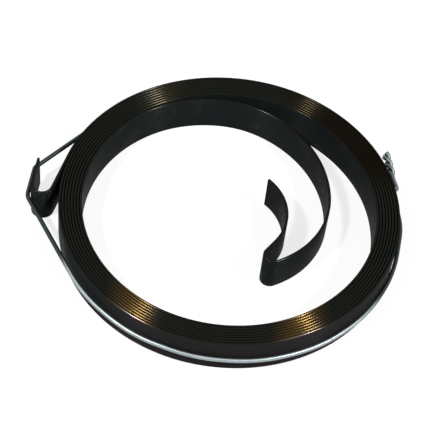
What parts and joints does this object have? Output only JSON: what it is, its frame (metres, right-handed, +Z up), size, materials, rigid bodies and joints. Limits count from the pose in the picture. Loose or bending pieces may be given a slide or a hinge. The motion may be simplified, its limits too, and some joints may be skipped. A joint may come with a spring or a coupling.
{
  "type": "recoil starter spring",
  "caption": "Flat steel recoil starter spring: packed spiral coil with an outer hook and a folded inner end, held closed by a twisted wire tie.",
  "frame": {"origin": "winding axis of the packed coil, in the plane of the strip's lower edges on which the part lies", "axes": "+Z up along the winding axis, +X away from the outer hook, +Y towards the back as the part lies; seen from above the strip winds clockwise from its outer hook inwards"},
  "size_m": [0.0757, 0.0702, 0.008],
  "materials": {
    "spring_strip": "dark oil-tempered, slightly glossy, with bronze highlights on the strip's edges",
    "retaining_wire": "galvanised, satin"
  },
  "bodies": {
    "root": {"spring_strip": "spring_strip", "retaining_wire": "retaining_wire"}
  },
  "joints": []
}
